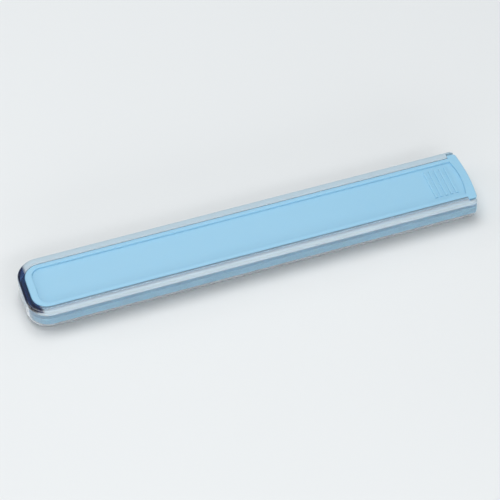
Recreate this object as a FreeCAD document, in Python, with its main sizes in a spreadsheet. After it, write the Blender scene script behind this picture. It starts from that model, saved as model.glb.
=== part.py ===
"""Slide-lid carrying case, about 204 x 31 x 12 mm, as a parametric FreeCAD document.

Three moulded pieces make the whole case:
  clear_case  a transparent sleeve, closed by a rounded nose at the -X end and open at the +X end,
              with rails along its top edge that hook over the lid;
  inner_tray  a light blue tray that fills the sleeve below the lid, with the +X end wall;
  slide_lid   a light blue lid whose skirted tongues run in the rails, with a sunken panel, grip
              ribs and a bowed flange that covers the end wall.

Frame: origin under the middle of the case on the surface it lies on, +Z up, +X along the case
towards the ribbed end, which is the way the lid and the tray slide out.
"""
import FreeCAD, Part
import math
import os
import Sketcher

# ---------------------------------------------------------------- driving dimensions, millimetres
DIMENSIONS = [
    ("length", 204.0, "overall length, nose to the middle of the bowed end"),
    ("width", 31.2, "overall width"),
    ("height", 12.0, "overall height"),
    ("nose_radius", 10.0, "plan radius of the two corners at the nose"),
    ("end_radius", 82.0, "radius of the bowed end, seen from above"),
    ("end_corner", 2.3, "plan radius of the two corners at the bowed end"),
    ("bottom_round", 4.2, "radius along the bottom edge"),
    ("rim_round", 1.1, "radius along the outer top edge"),
    ("case_wall", 1.2, "side wall of the clear case"),
    ("nose_wall", 1.2, "nose wall of the clear case"),
    ("case_floor", 1.0, "floor of the clear case"),
    ("rail_side", 3.7, "width of each side rail, seen from above"),
    ("rail_nose", 2.95, "width of the rim at the nose, seen from above"),
    ("rail_depth", 4.8, "height of the rails, from the top down"),
    ("lip", 1.1, "thickness of the lips over the lid's tongues"),
    ("tongue", 0.95, "how far the lid's tongues reach beyond its border, under the lips"),
    ("lid_plate", 1.2, "thickness of the lid's plate"),
    ("skirt", 1.1, "thickness of the skirts below the lid's tongues"),
    ("flange_width", 26.9, "width of the lid's flange at the bowed end"),
    ("tongue_start", 5.0, "distance from the nose to the start of the lid's tongues"),
    ("rail_stop", 5.1, "distance from the bowed end to the ends of the rails"),
    ("gap", 0.1, "sliding clearance above, below and ahead of the lid and the tray"),
    ("side_gap", 0.15, "sliding clearance beside the tongues and the tray"),
    ("tray_wall", 1.8, "side wall of the tray"),
    ("tray_floor", 1.0, "floor of the tray"),
    ("end_wall", 2.6, "end wall of the tray at the bowed end"),
    ("border_side", 1.95, "raised border of the lid along its sides"),
    ("border_nose", 3.2, "raised border of the lid at its nose"),
    ("border_end", 3.7, "flange of the lid at the bowed end"),
    ("panel_depth", 0.9, "depth of the sunken panel"),
    ("panel_corner", 4.4, "plan radius of the panel's corners at the nose"),
    ("panel_end_radius", 35.5, "radius of the panel's bowed end, seen from above"),
    ("lid_round", 0.45, "radius along the lid's upper edges"),
    ("flange_corner", 1.6, "plan radius of the flange's two corners"),
    ("rib_pitch", 2.4, "spacing of the grip ribs"),
    ("rib_width", 1.2, "width of a grip rib at its foot"),
    ("rib_height", 0.5, "height of a grip rib above the panel"),
    ("rib_span", 15.4, "length of a grip rib across the panel"),
    ("rib_first", 8.2, "distance from the bowed end to the nearest rib"),
]
RIB_COUNT = 5
UP = FreeCAD.Vector(0, 0, 1)
RUN_OUT = 12.0        # how far a cut runs past the open end

doc = FreeCAD.newDocument("slide_lid_case")
sheet = doc.addObject("Spreadsheet::Sheet", "Sizes")
for row, (alias, number, note) in enumerate(DIMENSIONS, start=1):
    sheet.set("A%d" % row, note)
    sheet.set("B%d" % row, str(number))
    sheet.setAlias("B%d" % row, alias)
doc.recompute()


def size(expression):
    """The value in millimetres of an expression in the sheet's names."""
    found = sheet.evalExpression(expression)
    return float(getattr(found, "Value", found))


def linked(expression):
    """The same expression as another object has to write it."""
    words = []
    word = ""
    for letter in expression + " ":
        if letter.isalpha() or letter == "_":
            word += letter
            continue
        if word:
            words.append("Sizes." + word if word in NAMES else word)
            word = ""
        words.append(letter)
    return "".join(words).strip()


NAMES = {alias for alias, _, _ in DIMENSIONS}
HALF_LENGTH = "length / 2"
HALF_WIDTH = "width / 2"
CHANNEL_TOP = "height - lip"
RAIL_UNDERSIDE = "height - rail_depth"
INNER_HALF = "width / 2 - case_wall"
TRAY_HALF = "width / 2 - case_wall - side_gap"
OPENING_HALF = "width / 2 - rail_side"
RAIL_END = "length / 2 - rail_stop"
FLANGE_START = "length / 2 - rail_stop + gap"
TONGUE_HALF = "width / 2 - rail_side - gap + tongue"
SKIRT_HALF = "width / 2 - rail_side - gap + tongue - skirt"
FLANGE_HALF = "flange_width / 2"
SKIRT_FOOT = "height - rail_depth + gap"
LID_UNDERSIDE = "height - lip - gap - lid_plate"
PANEL_HALF = "width / 2 - rail_side - gap - border_side"
PAST_END = "length / 2 + %s" % RUN_OUT


# ---------------------------------------------------------------- sketches and features
def new_body(label):
    body = doc.addObject("PartDesign::Body", label)
    body.Label = label
    return body


def origin_plane(body, role):
    return next(item for item in body.Origin.OriginFeatures if item.Role == role)


def new_sketch(body, name, level):
    """An empty sketch parallel to the XY plane at a level given as an expression."""
    sketch = body.newObject("Sketcher::SketchObject", name)
    sketch.AttachmentSupport = (origin_plane(body, "XY_Plane"), [""])
    sketch.MapMode = "FlatFace"
    sketch.setExpression("AttachmentOffset.Base.z", linked(level))
    return sketch


def dimension(sketch, kind, arguments, expression):
    """One dimension bound to the sheet."""
    index = sketch.addConstraint(Sketcher.Constraint(kind, *arguments, size(expression)))
    sketch.setExpression("Constraints[%d]" % index, linked(expression))


def at(x, y):
    return FreeCAD.Vector(x, y, 0)


def arc_of(x, y, radius, start, end):
    return Part.ArcOfCircle(Part.Circle(at(x, y), UP, radius), start, end)


def add_outline(sketch, nose, half, corner, apex, bow_radius):
    """Closed plan outline: round-cornered nose at -X, straight sides, bowed end at +X."""
    x_nose, y_half, radius = -size(nose), size(half), size(corner)
    centre = "%s - %s" % (apex, bow_radius)
    big, x_centre = size(bow_radius), size(centre)
    x_end = x_centre + (big ** 2 - y_half ** 2) ** 0.5
    quarter = math.pi / 2
    spread = math.atan2(y_half, x_end - x_centre)
    x_corner = x_nose + radius
    y_corner = y_half - radius
    first = sketch.addGeometry(Part.LineSegment(at(x_corner, -y_half), at(x_end, -y_half)))
    end = sketch.addGeometry(arc_of(x_centre, 0, big, -spread, spread))
    back = sketch.addGeometry(Part.LineSegment(at(x_end, y_half), at(x_corner, y_half)))
    back_corner = sketch.addGeometry(arc_of(x_corner, y_corner, radius, quarter, 2 * quarter))
    left = sketch.addGeometry(Part.LineSegment(at(x_nose, y_corner), at(x_nose, -y_corner)))
    front_corner = sketch.addGeometry(arc_of(x_corner, -y_corner, radius, 2 * quarter, 3 * quarter))
    rules = [
        ("Coincident", first, 2, end, 1),
        ("Coincident", end, 2, back, 1),
        ("Tangent", back, 2, back_corner, 1),
        ("Tangent", back_corner, 2, left, 1),
        ("Tangent", left, 2, front_corner, 1),
        ("Tangent", front_corner, 2, first, 1),
        ("Horizontal", first),
        ("Horizontal", back),
        ("Vertical", left),
        ("Equal", back_corner, front_corner),
        ("PointOnObject", end, 3, -1),
    ]
    for rule in rules:
        sketch.addConstraint(Sketcher.Constraint(*rule))
    dimension(sketch, "DistanceY", (first, 1, -1, 1), half)
    dimension(sketch, "DistanceY", (-1, 1, back, 1), half)
    dimension(sketch, "DistanceX", (left, 1, -1, 1), nose)
    dimension(sketch, "Radius", (back_corner,), corner)
    dimension(sketch, "Radius", (end,), bow_radius)
    dimension(sketch, "DistanceX", (-1, 1, end, 3), centre)


def add_rectangle(sketch, low_x, high_x, half):
    """Closed rectangle, the same width each side of the X axis."""
    x0, x1, y = size(low_x), size(high_x), size(half)
    corners = [(x0, -y), (x1, -y), (x1, y), (x0, y)]
    lines = []
    for start, stop in zip(corners, corners[1:] + corners[:1]):
        a = FreeCAD.Vector(start[0], start[1], 0)
        b = FreeCAD.Vector(stop[0], stop[1], 0)
        lines.append(sketch.addGeometry(Part.LineSegment(a, b)))
    for line, following in zip(lines, lines[1:] + lines[:1]):
        sketch.addConstraint(Sketcher.Constraint("Coincident", line, 2, following, 1))
    for line in lines[::2]:
        sketch.addConstraint(Sketcher.Constraint("Horizontal", line))
    for line in lines[1::2]:
        sketch.addConstraint(Sketcher.Constraint("Vertical", line))
    dimension(sketch, "DistanceX", (-1, 1, lines[0], 1), low_x)
    dimension(sketch, "DistanceX", (-1, 1, lines[0], 2), high_x)
    dimension(sketch, "DistanceY", (lines[0], 1, -1, 1), half)
    dimension(sketch, "DistanceY", (-1, 1, lines[2], 1), half)


def pad(body, name, sketch, depth):
    feature = body.newObject("PartDesign::Pad", name)
    feature.Profile = sketch
    feature.setExpression("Length", linked(depth))
    doc.recompute()
    return feature


def pocket(body, name, sketch, depth):
    """Cuts downwards from the sketch, and makes sure that something was cut."""
    before = body.Shape.Volume
    feature = body.newObject("PartDesign::Pocket", name)
    feature.Profile = sketch
    feature.setExpression("Length", linked(depth))
    doc.recompute()
    if not body.Shape.Volume < before:
        raise ValueError("%s cuts nothing" % name)
    return feature


def cut_outline(body, name, top, depth, nose, half, corner, apex, bow_radius):
    sketch = new_sketch(body, name + "_outline", top)
    add_outline(sketch, nose, half, corner, apex, bow_radius)
    return pocket(body, name, sketch, depth)


def cut_rectangle(body, name, top, depth, low_x, high_x, half):
    sketch = new_sketch(body, name + "_outline", top)
    add_rectangle(sketch, low_x, high_x, half)
    return pocket(body, name, sketch, depth)


def edges_where(body, test):
    """Names of the body's edges whose ends and middle all pass the test."""
    names = []
    for number, edge in enumerate(body.Shape.Edges, start=1):
        first, last = edge.ParameterRange
        points = [edge.valueAt(first), edge.valueAt((first + last) / 2), edge.valueAt(last)]
        if all(test(point) for point in points):
            names.append("Edge%d" % number)
    return names


def fillet(body, name, radius, test):
    names = edges_where(body, test)
    if not names:
        raise ValueError("%s finds no edges" % name)
    base = body.Tip
    feature = body.newObject("PartDesign::Fillet", name)
    feature.Base = (base, names)
    feature.setExpression("Radius", linked(radius))
    doc.recompute()
    return feature


TOUCH = 1e-4          # how near a point has to be to count as on a level


def at_level(level):
    z = size(level)
    return lambda point: abs(point.z - z) < TOUCH


# ---------------------------------------------------------------- the pieces
def make_clear_case():
    """Sleeve with a closed nose, an open end and rails that hook over the lid's tongues."""
    body = new_body("clear_case")
    form = new_sketch(body, "case_outline", "0 * height")
    add_outline(form, HALF_LENGTH, HALF_WIDTH, "nose_radius", HALF_LENGTH, "end_radius")
    pad(body, "case_block", form, "height")
    side, radius = size(HALF_WIDTH), size("end_radius")
    x_end = size("length / 2 - end_radius") + (radius ** 2 - side ** 2) ** 0.5
    fillet(
        body, "end_corners", "end_corner",
        lambda p: abs(p.x - x_end) < TOUCH and abs(abs(p.y) - side) < TOUCH,
    )
    fillet(body, "bottom_edge", "bottom_round", at_level("0 * height"))
    fillet(body, "rim_edge", "rim_round", at_level("height"))
    cut_outline(
        body, "opening", "height", "rail_depth",
        "length / 2 - rail_nose", OPENING_HALF, "nose_radius - rail_nose", PAST_END, "end_radius",
    )
    cavity = body.newObject("PartDesign::Boolean", "cavity")
    cavity.Type = "Cut"
    cavity.setObjects([make_cavity_form()])
    doc.recompute()
    cut_outline(
        body, "channels", CHANNEL_TOP, "rail_depth - lip",
        "length / 2 - nose_wall", INNER_HALF, "nose_radius - nose_wall", PAST_END, "end_radius",
    )
    cut_rectangle(body, "open_end", "height", "rail_depth", RAIL_END, PAST_END, INNER_HALF)
    top, opening = size("height"), size(OPENING_HALF)
    fillet(
        body, "lip_edge", "lid_round / 2",
        lambda p: abs(p.z - top) < TOUCH and abs(p.y) < opening + TOUCH,
    )
    return body


def make_cavity_form():
    """The space that the tray lies in, as a solid to cut from the case."""
    body = new_body("cavity_form")
    form = new_sketch(body, "cavity_outline", "case_floor")
    add_outline(
        form, "length / 2 - nose_wall", INNER_HALF, "nose_radius - nose_wall", PAST_END, "end_radius",
    )
    pad(body, "cavity_block", form, "height - rail_depth - case_floor")
    fillet(body, "cavity_edge", "bottom_round - case_wall", at_level("case_floor"))
    return body


def make_inner_tray():
    """Open tray under the lid. Its end wall closes the sleeve and is flush with it."""
    body = new_body("inner_tray")
    form = new_sketch(body, "tray_outline", "0 * height")
    add_outline(
        form, "length / 2 - nose_wall - gap", TRAY_HALF, "nose_radius - nose_wall - gap",
        HALF_LENGTH, "end_radius",
    )
    pad(body, "tray_block", form, "height - rail_depth - gap")
    fillet(
        body, "tray_end_edge", "bottom_round",
        lambda p: abs(p.z) < TOUCH and p.x > size(RAIL_END),
    )
    under = "case_floor + gap"
    cut_rectangle(body, "underside", under, under, "0 - length / 2", PAST_END, HALF_WIDTH)
    level, half = size(under), size(TRAY_HALF)
    fillet(
        body, "tray_edge", "bottom_round - case_wall",
        lambda p: abs(p.z - level) < TOUCH
        and (abs(abs(p.y) - half) < TOUCH or p.x < size(RAIL_END)),
    )
    head = new_sketch(body, "end_wall_outline", "height - rail_depth - gap")
    add_bowed_rectangle(head, FLANGE_START, "width / 2 - rail_side - gap + tongue - skirt - side_gap")
    pad(body, "end_wall_head", head, "rail_depth - lip - gap - lid_plate")
    cut_outline(
        body, "hollow", "height", "height - case_floor - gap - tray_floor",
        "length / 2 - nose_wall - gap - tray_wall", "width / 2 - case_wall - side_gap - tray_wall",
        "nose_radius - nose_wall - gap - tray_wall", "length / 2 - end_wall", "end_radius",
    )
    fillet(
        body, "hollow_edge", "bottom_round - case_wall - tray_wall",
        at_level("case_floor + gap + tray_floor"),
    )
    return body


def make_slide_lid():
    """Skirted plate with a raised border, a sunken panel, grip ribs and an end flange."""
    body = new_body("slide_lid")
    plate = new_sketch(body, "plate_outline", SKIRT_FOOT)
    add_outline(
        plate, "length / 2 - tongue_start", TONGUE_HALF, "nose_radius - tongue_start",
        "length / 2 - rail_stop + end_corner", "end_radius",
    )
    pad(body, "tongues", plate, "rail_depth - lip - 2 * gap")
    border = new_sketch(body, "border_outline", LID_UNDERSIDE)
    add_outline(
        border, "length / 2 - rail_nose - gap", "width / 2 - rail_side - gap",
        "nose_radius - rail_nose - gap", "length / 2 - end_corner", "end_radius",
    )
    pad(body, "border", border, "lip + gap + lid_plate")
    flange = new_sketch(body, "flange_outline", SKIRT_FOOT)
    add_bowed_rectangle(flange, FLANGE_START, FLANGE_HALF)
    pad(body, "flange", flange, "rail_depth - gap")
    cut_rectangle(
        body, "underside", LID_UNDERSIDE, "rail_depth - lip - 2 * gap - lid_plate",
        "0 - length / 2", PAST_END, SKIRT_HALF,
    )
    side, past_rails = size(FLANGE_HALF), size(RAIL_END) + size("end_corner")
    fillet(
        body, "flange_corners", "flange_corner",
        lambda p: abs(abs(p.y) - side) < TOUCH and p.x > past_rails,
    )
    fillet(body, "upper_edge", "lid_round", at_level("height"))
    cut_outline(
        body, "panel", "height", "panel_depth",
        "length / 2 - rail_nose - gap - border_nose", PANEL_HALF, "panel_corner",
        "length / 2 - border_end", "panel_end_radius",
    )
    top, reach = size("height"), size(PANEL_HALF)
    fillet(
        body, "panel_edge", "lid_round / 2",
        lambda p: abs(p.z - top) < TOUCH and abs(p.y) < reach + TOUCH
        and p.x < size("length / 2 - border_end") + TOUCH
        and p.x > TOUCH - size("length / 2 - rail_nose - border_nose + gap"),
    )
    for number in range(RIB_COUNT):
        add_rib(body, number)
    fillet(
        body, "rib_edges", "rib_width / 4", at_level("height - panel_depth + rib_height"),
    )
    return body


def add_bowed_rectangle(sketch, start, half):
    """Rectangle whose far side is the bowed end."""
    centre = "length / 2 - end_radius"
    x0, y, big, x_centre = size(start), size(half), size("end_radius"), size(centre)
    x1 = x_centre + (big ** 2 - y ** 2) ** 0.5
    spread = math.atan2(y, x1 - x_centre)
    front = sketch.addGeometry(Part.LineSegment(at(x0, -y), at(x1, -y)))
    end = sketch.addGeometry(arc_of(x_centre, 0, big, -spread, spread))
    back = sketch.addGeometry(Part.LineSegment(at(x1, y), at(x0, y)))
    left = sketch.addGeometry(Part.LineSegment(at(x0, y), at(x0, -y)))
    rules = [
        ("Coincident", front, 2, end, 1),
        ("Coincident", end, 2, back, 1),
        ("Coincident", back, 2, left, 1),
        ("Coincident", left, 2, front, 1),
        ("Horizontal", front),
        ("Horizontal", back),
        ("Vertical", left),
        ("PointOnObject", end, 3, -1),
    ]
    for rule in rules:
        sketch.addConstraint(Sketcher.Constraint(*rule))
    dimension(sketch, "DistanceX", (-1, 1, front, 1), start)
    dimension(sketch, "DistanceY", (front, 1, -1, 1), half)
    dimension(sketch, "DistanceY", (-1, 1, back, 1), half)
    dimension(sketch, "Radius", (end,), "end_radius")
    dimension(sketch, "DistanceX", (-1, 1, end, 3), centre)


def add_rib(body, number):
    """One grip rib across the panel, with rounded upper edges."""
    middle = "length / 2 - rib_first - %d * rib_pitch" % number
    sketch = new_sketch(body, "rib_outline_%d" % number, "height - panel_depth")
    add_rectangle(
        sketch, "%s - rib_width / 2" % middle, "%s + rib_width / 2" % middle, "rib_span / 2",
    )
    pad(body, "rib_%d" % number, sketch, "rib_height")


def check(item):
    if "Invalid" in item.State or "Error" in item.State:
        raise ValueError("%s failed: %s" % (item.Label, item.State))


def write(piece):
    shape = piece.Shape
    if shape.isNull() or not shape.isValid() or len(shape.Solids) != 1:
        raise ValueError("%s is not one valid solid" % piece.Label)
    shape.exportStep("parts/%s.step" % piece.Label)
    print("%s: %.1f cubic mm" % (piece.Label, shape.Volume))


pieces = [make_clear_case(), make_inner_tray(), make_slide_lid()]
doc.recompute()
for document_object in doc.Objects:
    check(document_object)
os.makedirs("parts", exist_ok=True)
for piece in pieces:
    write(piece)
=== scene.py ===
"""Looks of the slide-lid carrying case: materials, table, light and camera round the CAD model."""
import math

import bpy
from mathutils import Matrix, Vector

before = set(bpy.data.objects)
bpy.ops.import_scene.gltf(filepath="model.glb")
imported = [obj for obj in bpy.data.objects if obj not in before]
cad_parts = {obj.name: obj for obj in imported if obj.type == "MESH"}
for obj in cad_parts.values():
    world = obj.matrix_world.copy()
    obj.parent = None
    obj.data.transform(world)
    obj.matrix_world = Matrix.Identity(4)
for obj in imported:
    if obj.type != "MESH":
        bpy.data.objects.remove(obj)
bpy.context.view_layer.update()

# ---------------------------------------------------------------- view
AZIMUTH = math.radians(-18.72)
ELEVATION = math.radians(50.73)
DISTANCE = 0.9604
LENS = 158.4
SENSOR = 36.0
AIM_RIGHT = 0.0002
AIM_UP = -0.0010
AIM_HEIGHT = 0.0008

# ---------------------------------------------------------------- colours, linear
CLEAR_TINT = (0.93, 0.955, 0.99, 1.0)
# Painted shade: dark navy laid into the clear rim round the nose.
NOSE_PAINTED_SHADE = (0.003, 0.022, 0.120, 1.0)
# Painted highlight: a whitish tint and lower clarity on the rim's rounded outer edge.
RIM_HIGHLIGHT_TINT = (0.62, 0.79, 0.88, 1.0)
LID_BLUE = (0.298, 0.558, 0.732, 1.0)
# Lighter than the lid's blue: painted light standing in for light on the tray's front side.
TRAY_BLUE_PAINTED_LIGHT = (0.330, 0.660, 0.830, 1.0)
TABLE_WHITE = (0.78, 0.79, 0.785, 1.0)
SKY = (0.90, 0.95, 1.00, 1.0)
DARK_ROOM = (0.04, 0.07, 0.12, 1.0)
HORIZON_LOW = 0.15
HORIZON_HIGH = 0.50

# ---------------------------------------------------------------- plastics
CLEAR_IOR = 1.57
CLEAR_TRANSMISSION = 0.97
RIM_HIGHLIGHT_TRANSMISSION = 0.25
SATIN_IOR = 1.50
SATIN_DEPTH = 0.0012

# ---------------------------------------------------------------- painted shade: dark band on the nose, metres
NOSE_SHADE_END = -0.0965
NOSE_SHADE_FADE = 0.0012
NOSE_SHADE_FOOT = 0.0116
NOSE_SHADE_FOOT_FADE = 0.0001
NOSE_SHADE_SLANT = 0.08

# ---------------------------------------------------------------- painted highlight on the rim, metres
BACK_START = 0.0060
FRONT_START = 0.0118
SIDE_OUTER = 0.0150
NOSE_START = -0.1009
NOSE_OUTER = -0.1018
RIM_HIGHLIGHT_FOOT = 0.0099
RIM_HIGHLIGHT_FOOT_FADE = 0.0004
FRONT_SHARE = 0.70


def new_material(name):
    """An empty node material and its Principled shader, wired to the output."""
    material = bpy.data.materials.new(name)
    material.use_nodes = True
    return material, material.node_tree.nodes["Principled BSDF"]


def noise(tree, scale, detail=2.0, stretch=(1.0, 1.0, 1.0)):
    """Noise in object space, in metres, stretched along the axes."""
    place = tree.nodes.new("ShaderNodeTexCoord")
    shape = tree.nodes.new("ShaderNodeMapping")
    shape.inputs["Scale"].default_value = stretch
    texture = tree.nodes.new("ShaderNodeTexNoise")
    texture.inputs["Scale"].default_value = scale
    texture.inputs["Detail"].default_value = detail
    tree.links.new(place.outputs["Object"], shape.inputs["Vector"])
    tree.links.new(shape.outputs["Vector"], texture.inputs["Vector"])
    return texture.outputs["Fac"]


def spread(tree, factor, low, high, start=0.35, end=0.65):
    """Maps a noise's middle values onto low to high."""
    node = tree.nodes.new("ShaderNodeMapRange")
    node.inputs["From Min"].default_value = start
    node.inputs["From Max"].default_value = end
    node.inputs["To Min"].default_value = low
    node.inputs["To Max"].default_value = high
    tree.links.new(factor, node.inputs["Value"])
    return node.outputs["Result"]


def tint(tree, factor, first, second):
    """A colour between two, by a factor. The first may be another node's colour."""
    node = tree.nodes.new("ShaderNodeMix")
    node.data_type = "RGBA"
    tree.links.new(factor, node.inputs["Factor"])
    if isinstance(first, tuple):
        node.inputs["A"].default_value = first
    else:
        tree.links.new(first, node.inputs["A"])
    node.inputs["B"].default_value = second
    return node.outputs["Result"]


def bump(tree, height, distance, strength, before=None):
    """A bumped normal, on top of another node's if one is given."""
    node = tree.nodes.new("ShaderNodeBump")
    node.inputs["Distance"].default_value = distance
    node.inputs["Strength"].default_value = strength
    tree.links.new(height, node.inputs["Height"])
    if before is not None:
        tree.links.new(before, node.inputs["Normal"])
    return node.outputs["Normal"]


def position(tree):
    """Sockets with the X, Y and Z of object space, in metres."""
    place = tree.nodes.new("ShaderNodeTexCoord")
    split = tree.nodes.new("ShaderNodeSeparateXYZ")
    tree.links.new(place.outputs["Object"], split.inputs["Vector"])
    return split.outputs["X"], split.outputs["Y"], split.outputs["Z"]


def math_node(tree, operation, *inputs):
    """A math node whose inputs are numbers or other nodes' sockets."""
    node = tree.nodes.new("ShaderNodeMath")
    node.operation = operation
    for number, value in enumerate(inputs):
        if isinstance(value, float):
            node.inputs[number].default_value = value
        else:
            tree.links.new(value, node.inputs[number])
    return node.outputs["Value"]


def painted_nose_shade(tree):
    """Mask of the painted shade: 1 on top of the rim round the nose, 0 elsewhere."""
    x, y, z = position(tree)
    slant = math_node(tree, "MULTIPLY_ADD", y, NOSE_SHADE_SLANT, x)
    ahead = spread(tree, slant, 1.0, 0.0, NOSE_SHADE_END - NOSE_SHADE_FADE, NOSE_SHADE_END)
    above = spread(tree, z, 0.0, 1.0, NOSE_SHADE_FOOT, NOSE_SHADE_FOOT + NOSE_SHADE_FOOT_FADE)
    return math_node(tree, "MULTIPLY", ahead, above)


def painted_rim_highlight(tree):
    """Mask of the painted highlight: rises across the rim towards its rounded outer edge, 0
    elsewhere.
    """
    x, y, z = position(tree)
    back = spread(tree, y, 0.0, 1.0, BACK_START, SIDE_OUTER)
    front = spread(tree, y, FRONT_SHARE, 0.0, -SIDE_OUTER, -FRONT_START)
    nose = spread(tree, x, FRONT_SHARE, 0.0, NOSE_OUTER, NOSE_START)
    sides = math_node(tree, "MAXIMUM", back, front)
    outside = math_node(tree, "MAXIMUM", sides, nose)
    above = spread(tree, z, 0.0, 1.0, RIM_HIGHLIGHT_FOOT, RIM_HIGHLIGHT_FOOT + RIM_HIGHLIGHT_FOOT_FADE)
    return math_node(tree, "MULTIPLY", outside, above)


def shade(colour, factor):
    """A colour made lighter or darker."""
    return tuple(channel * factor for channel in colour[:3]) + (1.0,)


# ---------------------------------------------------------------- materials
def clear_plastic():
    """Clear styrene: polished, with a painted highlight on the rim, painted shade on the nose rim,
    faint flow ripples and fine handling scratches.
    """
    material, shader = new_material("clear_styrene")
    tree = material.node_tree
    # The whitish, less clear rim edge is a painted highlight.
    rim_highlight_mask = painted_rim_highlight(tree)
    body = tint(tree, rim_highlight_mask, CLEAR_TINT, RIM_HIGHLIGHT_TINT)
    # The navy mixed in on the nose rim is painted shade.
    tree.links.new(tint(tree, painted_nose_shade(tree), body, NOSE_PAINTED_SHADE), shader.inputs["Base Color"])
    shader.inputs["IOR"].default_value = CLEAR_IOR
    clear = spread(tree, rim_highlight_mask, CLEAR_TRANSMISSION, RIM_HIGHLIGHT_TRANSMISSION, 0.0, 1.0)
    tree.links.new(clear, shader.inputs["Transmission Weight"])
    scratches = noise(tree, 900.0, 3.0, (0.06, 1.0, 1.0))
    tree.links.new(spread(tree, scratches, 0.02, 0.06, 0.55, 0.75), shader.inputs["Roughness"])
    ripple = bump(tree, noise(tree, 60.0, 1.0, (0.3, 1.0, 1.0)), 0.0002, 0.05)
    tree.links.new(ripple, shader.inputs["Normal"])
    return material


def blue_plastic(name, colour, grain):
    """Satin coloured plastic: fine moulded grain, soft flow marks and slight wear of the gloss."""
    material, shader = new_material(name)
    tree = material.node_tree
    flow = noise(tree, 26.0, 3.0, (0.25, 1.0, 1.0))
    body = tint(tree, flow, shade(colour, 0.97), shade(colour, 1.03))
    tree.links.new(body, shader.inputs["Base Color"])
    worn = noise(tree, 340.0, 4.0, (0.4, 1.0, 1.0))
    tree.links.new(spread(tree, worn, 0.34, 0.44), shader.inputs["Roughness"])
    shader.inputs["IOR"].default_value = SATIN_IOR
    shader.inputs["Subsurface Weight"].default_value = 0.15
    shader.inputs["Subsurface Radius"].default_value = (0.5, 0.8, 1.0)
    shader.inputs["Subsurface Scale"].default_value = SATIN_DEPTH
    skin = bump(tree, noise(tree, 4200.0, 2.0), 0.00002, grain)
    skin = bump(tree, noise(tree, 120.0, 2.0, (0.3, 1.0, 1.0)), 0.00012, 0.06, skin)
    tree.links.new(skin, shader.inputs["Normal"])
    return material


def table_top():
    """Pale matt surface with a barely visible mottle."""
    material, shader = new_material("pale_table")
    tree = material.node_tree
    mottle = noise(tree, 9.0, 4.0)
    surface = tint(tree, mottle, shade(TABLE_WHITE, 0.985), TABLE_WHITE)
    tree.links.new(surface, shader.inputs["Base Color"])
    shader.inputs["Roughness"].default_value = 0.6
    return material


# ---------------------------------------------------------------- surroundings
def add_table(size=3.0, gap=0.00005):
    """A large flat square just below the case."""
    half = size / 2
    corners = [(-half, -half, -gap), (half, -half, -gap), (half, half, -gap), (-half, half, -gap)]
    mesh = bpy.data.meshes.new("table")
    mesh.from_pydata(corners, [], [(0, 1, 2, 3)])
    mesh.materials.append(table_top())
    table = bpy.data.objects.new("table", mesh)
    bpy.context.scene.collection.objects.link(table)


def add_world(strength):
    """A room that is bright overhead and dark towards the horizon."""
    world = bpy.data.worlds.new("room")
    world.use_nodes = True
    tree = world.node_tree
    place = tree.nodes.new("ShaderNodeTexCoord")
    split = tree.nodes.new("ShaderNodeSeparateXYZ")
    ramp = tree.nodes.new("ShaderNodeValToRGB")
    low, high = ramp.color_ramp.elements
    low.position = HORIZON_LOW
    low.color = DARK_ROOM
    high.position = HORIZON_HIGH
    high.color = SKY
    tree.links.new(place.outputs["Generated"], split.inputs["Vector"])
    tree.links.new(split.outputs["Z"], ramp.inputs["Fac"])
    sky = tree.nodes["Background"]
    tree.links.new(ramp.outputs["Color"], sky.inputs["Color"])
    sky.inputs["Strength"].default_value = strength
    bpy.context.scene.world = world


def add_panel_light(name, place, width, depth, power):
    """Soft rectangular light that faces the object."""
    light = bpy.data.lights.new(name, "AREA")
    light.shape = "RECTANGLE"
    light.size = width
    light.size_y = depth
    light.energy = power
    lamp = bpy.data.objects.new(name, light)
    bpy.context.scene.collection.objects.link(lamp)
    lamp.location = place
    lamp.rotation_euler = Vector(place).to_track_quat("Z", "Y").to_euler()


def add_camera():
    """The camera, turned and tilted about the case."""
    back = Vector((
        math.sin(AZIMUTH) * math.cos(ELEVATION),
        -math.cos(AZIMUTH) * math.cos(ELEVATION),
        math.sin(ELEVATION),
    ))
    right = Vector((math.cos(AZIMUTH), math.sin(AZIMUTH), 0.0))
    up = back.cross(right)
    lens = bpy.data.cameras.new("camera")
    lens.lens = LENS
    lens.sensor_width = SENSOR
    camera = bpy.data.objects.new("camera", lens)
    bpy.context.scene.collection.objects.link(camera)
    target = right * AIM_RIGHT + up * AIM_UP + Vector((0.0, 0.0, AIM_HEIGHT))
    camera.location = target + back * DISTANCE
    camera.rotation_euler = back.to_track_quat("Z", "Y").to_euler()
    bpy.context.scene.camera = camera


finishes = {
    "clear_case": clear_plastic(),
    # The tray's lighter blue carries painted light.
    "inner_tray": blue_plastic("tray_blue_painted_light", TRAY_BLUE_PAINTED_LIGHT, 0.10),
    "slide_lid": blue_plastic("lid_blue", LID_BLUE, 0.12),
}
for node, material in finishes.items():
    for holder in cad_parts[node].material_slots:
        holder.material = material

add_table()
add_world(0.50)
add_panel_light("key", (-0.12, 0.33, 1.22), 1.00, 0.70, 8.5)
add_panel_light("side", (-0.95, 0.30, 0.30), 0.50, 0.25, 1.8)
add_panel_light("front_fill", (-0.20, -0.90, 0.16), 1.20, 0.25, 4.4)
add_panel_light("rim_fill", (0.25, -0.80, 0.62), 0.90, 0.20, 2.0)
add_camera()
bpy.context.scene.view_settings.view_transform = "Standard"
